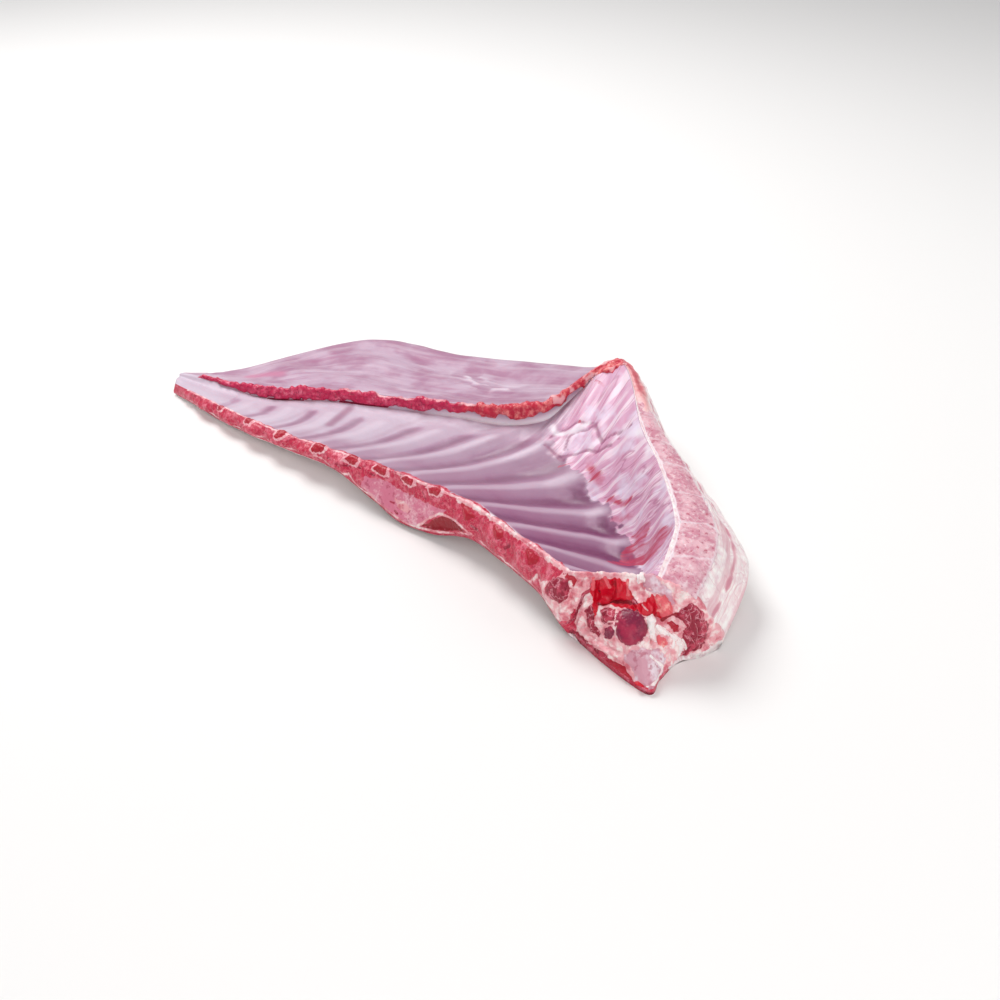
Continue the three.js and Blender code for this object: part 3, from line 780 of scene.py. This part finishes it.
faceTissues = [
    ("fat", "area", 0.0, 0.3, ((0.835, 0.12), (0.835, 1.05), (1.1, 1.05), (1.1, 0.12))),
    ("fat", "area", 0.0, 0.6, ((0.812, 0.028), (0.833, 0.0), (0.86, 0.0), (0.944, 0.038),
        (0.939, 0.143), (0.908, 0.222), (0.872, 0.290), (0.863, 0.235), (0.879, 0.157), (0.842, 0.072))),
    ("marrow", "area", 0.0, 0.6, ((0.849, 0.085), (0.865, 0.100), (0.874, 0.150), (0.890, 0.107),
        (0.863, 0.078))),
    ("deep", "area", 0.6, 1.8, ((0.833, 0.033), (0.846, 0.037), (0.858, 0.042), (0.888, 0.065),
        (0.884, 0.082), (0.858, 0.080), (0.847, 0.075), (0.836, 0.058))),
    ("deep", "line", 0.9, -0.6, ((0.887, 0.273), (0.901, 0.200), (0.922, 0.172), (0.965, 0.105),
        (0.933, 0.028))),
    ("deep", "line", 2.6, 0.6, ((1.0, 0.097), (1.0, 0.167), (1.0, 0.255), (0.997, 0.315), (1.0, 0.40))),
    ("gristle", "area", 0.4, 0.8, ((0.963, 0.425), (0.947, 0.498), (0.958, 0.682), (0.979, 0.753),
        (0.995, 0.723), (0.996, 0.583), (1.0, 0.485), (0.995, 0.462), (0.976, 0.447), (0.979, 0.402))),
    ("gristle", "area", 0.0, 0.9, ((0.853, 0.587), (0.851, 0.655), (0.864, 0.740), (0.871, 0.772),
        (0.889, 0.785), (0.894, 0.770), (0.882, 0.718), (0.875, 0.613))),
    ("blood", "area", 0.3, -0.5, ((0.871, 0.300), (0.870, 0.355), (0.868, 0.412), (0.867, 0.453),
        (0.870, 0.492), (0.880, 0.498), (0.895, 0.555), (0.902, 0.495), (0.904, 0.433), (0.904, 0.387),
        (0.911, 0.342), (0.929, 0.302), (0.954, 0.273), (0.947, 0.257), (0.918, 0.275), (0.891, 0.273))),
    # painted shade in the grooves at the hollow's edge
    ("shadeAndSeam", "line", 1.1, -1.6, ((0.910, 0.330), (0.898, 0.402), (0.894, 0.450), (0.895, 0.502),
        (0.901, 0.538))),
    ("shadeAndSeam", "line", 0.6, -1.2, ((0.885, 0.340), (0.909, 0.322))),
    ("coral", "line", 0.8, 0.8, ((0.866, 0.300), (0.884, 0.294))),
    ("coral", "line", 0.9, 0.8, ((0.866, 0.382), (0.878, 0.400))),
    ("coral", "line", 0.8, 0.8, ((0.868, 0.500), (0.885, 0.483))),
    ("deep", "area", 0.0, 0.4, ((0.885, 0.505), (0.895, 0.560), (0.915, 0.575), (0.912, 0.535),
        (0.900, 0.500))),
    ("fat", "line", 1.5, 1.2, ((0.915, 0.335), (0.935, 0.318), (0.946, 0.320), (0.961, 0.342),
        (0.968, 0.377), (0.964, 0.427), (0.950, 0.485), (0.938, 0.565), (0.926, 0.608), (0.913, 0.573))),
    ("deep", "area", 0.0, 0.6, ((0.920, 0.335), (0.912, 0.375), (0.908, 0.415), (0.935, 0.395),
        (0.945, 0.345))),
    ("disc", "area", 0.2, 0.9, ((0.916, 0.415), (0.905, 0.448), (0.903, 0.518), (0.912, 0.557),
        (0.924, 0.588), (0.936, 0.552), (0.947, 0.478), (0.956, 0.432), (0.953, 0.410), (0.937, 0.400))),
    ("disc", "area", 0.2, 1.2, ((0.946, 0.353), (0.939, 0.385), (0.945, 0.398), (0.957, 0.378),
        (0.961, 0.348))),
    ("fat", "line", 0.5, 1.3, ((0.947, 0.330), (0.934, 0.375), (0.928, 0.415))),
    ("fat", "line", 0.5, 1.3, ((0.936, 0.407), (0.949, 0.396), (0.956, 0.413))),
    ("blood", "area", 0.2, -0.8, ((0.894, 0.598), (0.887, 0.668), (0.897, 0.713), (0.919, 0.732),
        (0.911, 0.655), (0.911, 0.570), (0.904, 0.527), (0.902, 0.482), (0.897, 0.500))),
    ("fat", "line", 0.4, 1.0, ((0.897, 0.572), (0.903, 0.600), (0.905, 0.615))),
    ("coral", "area", 0.5, 3.0, ((0.884, 0.718), (0.882, 0.748), (0.894, 0.770), (0.909, 0.778),
        (0.917, 0.750), (0.908, 0.720))),
    ("tallowAndHighlight", "area", 0.0, 2.2, ((0.915, 0.577), (0.910, 0.657), (0.922, 0.698), (0.934, 0.668),
        (0.951, 0.685), (0.939, 0.607), (0.926, 0.592))),
    ("deep", "area", 0.3, 1.6, ((0.908, 0.790), (0.889, 0.822), (0.874, 0.842), (0.870, 0.875),
        (0.869, 0.905), (0.883, 0.933), (0.925, 0.955), (0.985, 0.950), (0.995, 0.890), (0.964, 0.845),
        (0.947, 0.855), (0.926, 0.833))),
    ("wall", "line", 0.15, 1.2, ((0.885, 0.842), (0.897, 0.856), (0.909, 0.864), (0.920, 0.860),
        (0.930, 0.852))),
    ("wall", "line", 0.15, 1.2, ((0.874, 0.878), (0.879, 0.893), (0.886, 0.906), (0.894, 0.917))),
    ("wall", "line", 0.15, 1.2, ((0.904, 0.880), (0.912, 0.897), (0.923, 0.908), (0.940, 0.914))),
    ("wall", "line", 0.15, 1.2, ((0.935, 0.860), (0.940, 0.880), (0.947, 0.900), (0.955, 0.918))),
    ("tallowAndHighlight", "line", 0.8, 1.8, ((0.953, 0.852), (0.963, 0.868), (0.973, 0.885))),
    ("fat", "area", 0.5, 1.4, ((0.922, 0.743), (0.914, 0.773), (0.910, 0.813), (0.921, 0.845),
        (0.941, 0.843), (0.941, 0.802), (0.931, 0.750))),
    ("marrow", "area", 0.0, 2.2, ((0.924, 0.755), (0.917, 0.780), (0.920, 0.810), (0.933, 0.815),
        (0.936, 0.790))),
    # painted shade in a groove
    ("shadeAndSeam", "line", 0.6, -0.4, ((0.921, 0.730), (0.912, 0.762), (0.904, 0.802))),
    ("tallowAndHighlight", "line", 1.5, 2.0, ((0.929, 0.695), (0.939, 0.750), (0.946, 0.803), (0.964, 0.852),
        (0.988, 0.867))),
    ("tallowAndHighlight", "line", 1.1, 1.8, ((0.940, 0.772), (0.951, 0.805), (0.965, 0.803))),
    ("coral", "area", 0.2, 1.8, ((0.948, 0.728), (0.947, 0.750), (0.957, 0.763), (0.960, 0.735))),
    ("coral", "line", 0.9, 1.4, ((0.944, 0.698), (0.953, 0.712))),
    ("fat", "line", 2.4, 2.4, ((0.910, 0.245), (0.939, 0.190), (0.972, 0.160), (0.980, 0.237),
        (0.979, 0.320), (0.978, 0.373), (0.975, 0.412))),
    ("deep", "area", 0.0, 1.2, ((0.914, 0.272), (0.925, 0.238), (0.942, 0.220), (0.958, 0.222),
        (0.967, 0.262), (0.966, 0.310), (0.957, 0.318), (0.951, 0.285), (0.934, 0.290))),
    # painted highlight: a bright white edge along the lower gristle
    ("tallowAndHighlight", "line", 1.0, 1.8, ((0.959, 0.575), (0.974, 0.650), (0.986, 0.728), (0.994, 0.700),
        (0.993, 0.575), (0.996, 0.492))),
    ("marrow", "area", 0.5, 1.6, ((1.0, 0.328), (0.992, 0.370), (0.986, 0.417), (0.998, 0.440),
        (1.0, 0.400))),
    ("blood", "area", 0.8, 1.6, ((1.0, 0.448), (0.995, 0.465), (0.995, 0.490), (1.0, 0.500))),
    ("fat", "line", 1.4, 1.6, ((0.858, 0.10), (0.861, 0.187), (0.861, 0.28), (0.861, 0.36),
        (0.860, 0.457), (0.859, 0.56))),
    ("tallowAndHighlight", "area", 0.6, 2.4, ((0.858, 0.56), (0.852, 0.60), (0.856, 0.635), (0.866, 0.62),
        (0.868, 0.58))),
]
sawnEdgePiece = {
    "along": (0.03, 0.872), "across": ((0, 1), (0, 0.118)), "cells": (300, 16, 2), "sink": 1.2, "depth": 3.4,
    "border": (0.01, 0.005, 0, 0.1),
}
frontFace = {
    "along": (0.853, 0.997), "across": ((0, 0.2, 1), (0, 0.094, 1)), "cells": (44, 128, 2), "sink": 1.2,
    "depth": 3.4, "border": (0.04, 0, 0, 0), "foldPitch": 0.085, "foldDepth": 1.1,
    "beads": ((3.2, 1.1), (1.4, 0.5)),
}


# An oval of hard pale bone round red marrow; towards the front the ends lie bare as dark wedges under the rim
def ribEndTissues():
    tissues = []
    turns = np.linspace(0, 2 * np.pi, ribEnd["steps"], endpoint=False)
    for u, v in ribEnd["places"]:
        here, foot = upper(np.array([u, u]), np.array([v, 0.0]))
        tall = np.linalg.norm(here - foot) / v
        small = mix(0.6, 1.0, rise(0.1, 0.4, u))
        sizes = (ribEnd["long"] * small / sheetSpan["along"], ribEnd["tall"] * small / tall)
        oval = [(u + sizes[0] * math.cos(a) * (1 + 0.12 * math.sin(3 * a + 20 * u)),
                 v + sizes[1] * math.sin(a) * (1 + 0.12 * math.cos(2 * a + 30 * u))) for a in turns]
        core = [mix(np.array((u, v)), np.array(place), ribEnd["wall"]).tolist() for place in oval]
        if u < ribEnd["bareFrom"]:
            tissues.append(("wall", "area", 0.0, 1.5, oval))
            tissues.append(("marrow", "area", 0.0, 1.0, core))
        else:
            wedge = [(u - 0.011, v + 0.006), (u + 0.004, v + 0.006), (u + 0.018, v - 0.006),
                     (u + 0.006, v - 0.022)]
            tissues.append(("marrow", "area", 0.3, 0.9, wedge))
    return tissues


sawnTissues += ribEndTissues()


def cutRelief(u, v, base):
    calm = 1 - 0.6 * looseness(base[:, 0]) * (1 - rise(0.7, 0.75, u))
    onFace = rise(0.85, 0.87, u)
    height = 0.5 + (0.9 + 0.7 * onFace) * grain(base, 6, 31) * calm
    height = height + (0.45 + 0.3 * onFace) * grain(base, 2.2, 32)
    height, marks = layTissues(u, v, base, sawnTissues + faceTissues, height, 61)
    folds = np.sin(2 * np.pi * v / frontFace["foldPitch"] + 5 * grain(base, 9, 63)) + 0.8 * grain(base, 4, 64)
    height = height + frontFace["foldDepth"] * folds * marks["blood"] * rise(frontRim, 0.87, u)
    lumpy = onFace * clamp01(marks["fat"] + marks["deep"])
    return height + lumpy * uneven(base, 33, *frontFace["beads"]), marks


addPiece(patch("sawn_edge", sawnEdgePiece, cutRelief), [cutMeat])
print("sawn edge laid on")
addPiece(patch("front_face", frontFace, cutRelief), [cutMeat])
print("front face laid on")

# The strip of midriff trimmed off along the foot of the flank
midriff = {
    "along": (0.03, 0.60), "across": ((0, 1), (0.660, 0.760)), "cells": (220, 14, 2), "sink": 1.4,
    "depth": 3.0, "border": (0.03, 0.03, 0.02, 0.02), "low": 0.688, "high": 0.722, "ragged": 0.010,
    "crumbFrom": 0.42, "end": 0.513,
    "shades": (((0.175, 0.672), (0.205, 0.666), (0.229, 0.673)),
               ((0.281, 0.682), (0.307, 0.680), (0.335, 0.690))),
    "peakMeat": ((0.508, 0.712), (0.520, 0.696), (0.532, 0.684), (0.540, 0.700), (0.547, 0.722),
                 (0.546, 0.738), (0.53, 0.742)),
    "peakLump": ((0.528, 0.708), (0.546, 0.690)), "lumpWidth": 4.5,
    "peakBand": ((0.500, 0.712), (0.513, 0.722), (0.521, 0.728), (0.535, 0.735), (0.553, 0.738)),
    "bandWidth": 2.4, "shadeWidth": 1.5, "peakRags": ((6, 3.5), (2.5, 2.5)),
}


def midriffRelief(u, v, base):
    rag = uneven(base, 43, (9, 1.0), (3.5, 0.6))
    low = midriff["low"] + 0.010 * rise(0.30, 0.42, u) + midriff["ragged"] * rag
    high = midriff["high"] + 0.014 * rise(0.42, 0.48, u) + 0.6 * midriff["ragged"] * rag
    within = rise(-0.004, 0.004, v - low) * rise(-0.004, 0.004, high - v)
    within = within * (1 - rise(midriff["end"] - 0.01, midriff["end"], u))
    middle = np.sqrt(clamp01(np.sin(np.pi * clamp01((v - low) / np.maximum(high - low, 1e-6)))))
    crumb = rise(midriff["crumbFrom"] - 0.04, midriff["crumbFrom"] + 0.03, u)
    body = 0.8 + 1.4 * middle + (1.2 + 0.9 * crumb) * grain(base, 5, 41) + 0.8 * grain(base, 2.3, 42)
    body = body * within
    fromBand = fromPath(base, upper(*np.array(midriff["peakBand"]).T))
    band = rise(-0.5, 0.5, midriff["bandWidth"] - fromBand + 2 * rag)
    lump = fromPath(base, upper(*np.array(midriff["peakLump"]).T)) / midriff["lumpWidth"]
    band = np.maximum(band, rise(0, 0.3, 1 - lump + 0.7 * grain(base, 4, 50)))
    ridge = fromPath(base, upper(*np.array(midriff["peakMeat"]).T))
    ridge = np.where(isInside(u, v, list(midriff["peakMeat"])), -ridge, ridge)
    band = np.maximum(band, rise(-0.8, 0.8, uneven(base, 48, *midriff["peakRags"]) + 0.6 - ridge))
    body = np.maximum(body, (1.0 + 1.4 * grain(base, 4, 45)) * band)
    fromShades = [fromPath(base, upper(*np.array(path).T)) for path in midriff["shades"]]
    shade = sum(hill(distance / midriff["shadeWidth"]) for distance in fromShades) * (1 - within)
    height = mix(-midriff["sink"], 0, clamp01(within + band + 1.4 * shade)) + body + 0.3 * clamp01(shade)
    cream = hill((v - high + 0.003) / 0.0035) * rise(0.2, 0.34, u) * (0.6 + 0.8 * grain(base, 12, 46))
    marks = {"creamLine": clamp01(cream), "shade": clamp01(shade), "crumb": clamp01(np.maximum(crumb, band)),
             "fatty": clamp01(1.6 * band * (grain(base, 5, 47) + 0.1))}
    return height, marks


addPiece(patch("midriff_edge", midriff, midriffRelief), [midriffLean])

# The breastbone, split lengthwise: blocks of spongy bone with a joint of gristle between each two
breastbone = {
    "along": (0.575, 0.866), "across": ((0, 1), (0.724, 0.875)), "cells": (80, 16, 2), "sink": 1.2,
    "depth": 3.0, "border": (0.06, 0.03, 0.06, 0.06), "block": 30, "innerEdge": (0.732, 0.005),
    "outerEdge": (0.858, 0.006), "pits": ((5, 0.4), (1.8, 0.4)), "wander": ((9, 0.006), (3, 0.0015)),
}


def breastboneRelief(u, v, base):
    along = (base[:, 0] - base[:, 1] + 3 * grain(base, 9, 53)) / math.sqrt(2)
    joint = np.abs(np.cos(np.pi * along / breastbone["block"])) ** 90
    wander = uneven(base, 54, *breastbone["wander"])
    height = 0.5 + uneven(base, 51, *breastbone["pits"]) + 0.3 * joint
    height = height - 2.2 * rise(0.861, 0.869, v + 2 * wander)
    edges = softLine(v + wander, breastbone["innerEdge"])
    edges = edges + 0.7 * softLine(v + wander, breastbone["outerEdge"])
    return height, {"creamLine": clamp01(0.6 * joint + edges)}


addPiece(patch("breastbone", breastbone, breastboneRelief), [spongyBone])
print("midriff and breastbone laid on")

# Floor, light and camera, at the photograph's viewing angle
view = {"place": (573, -547, 460), "pitch": 31.8, "turn": 46.0, "lens": 50.65, "sensor": 36.0}
light = {"key": ((-900, 150, 1250), 0.9, 19.0), "fill": ((900, -700, 700), 1.2, 6.0),
         "side": ((900, 650, 700), 1.0, 3.0), "world": 0.41}


def makeFloor():
    bm = bmesh.new()
    bmesh.ops.create_grid(bm, x_segments=1, y_segments=1, size=4.0)
    mesh = bpy.data.meshes.new("floor")
    bm.to_mesh(mesh)
    bm.free()
    floor = bpy.data.objects.new("floor", mesh)
    floor.location.z = -0.0003
    bpy.context.scene.collection.objects.link(floor)
    material = bpy.data.materials.new("pale matt floor")
    material.use_nodes = True
    material.node_tree.nodes.clear()
    shader = addNode(material.node_tree, "BsdfPrincipled", {"Base Color": "#f2f0ee", "Roughness": 0.8})
    addNode(material.node_tree, "OutputMaterial", {"Surface": shader})
    mesh.materials.append(material)


def makeLight():
    for name in ("key", "fill", "side"):
        place, size, power = light[name]
        lamp = bpy.data.lights.new(name, "AREA")
        lamp.shape = "DISK"
        lamp.size = size
        lamp.energy = power
        lampObject = bpy.data.objects.new(name, lamp)
        lampObject.location = [c * mm for c in place]
        aim = -lampObject.location
        lampObject.rotation_euler = aim.to_track_quat("-Z", "Y").to_euler()
        bpy.context.scene.collection.objects.link(lampObject)
    world = bpy.data.worlds.new("studio")
    world.use_nodes = True
    world.node_tree.nodes["Background"].inputs[0].default_value = linear("#f4f5f8")
    world.node_tree.nodes["Background"].inputs[1].default_value = light["world"]
    bpy.context.scene.world = world
    bpy.context.scene.view_settings.view_transform = "Standard"


def makeCamera():
    lens = bpy.data.cameras.new("camera")
    lens.lens = view["lens"]
    lens.sensor_width = view["sensor"]
    camera = bpy.data.objects.new("camera", lens)
    camera.location = toWorld(np.array([view["place"]], float))[0]
    camera.rotation_euler = (math.radians(90 - view["pitch"]), 0, math.radians(view["turn"]))
    bpy.context.scene.collection.objects.link(camera)
    bpy.context.scene.camera = camera


makeFloor()
makeLight()
makeCamera()
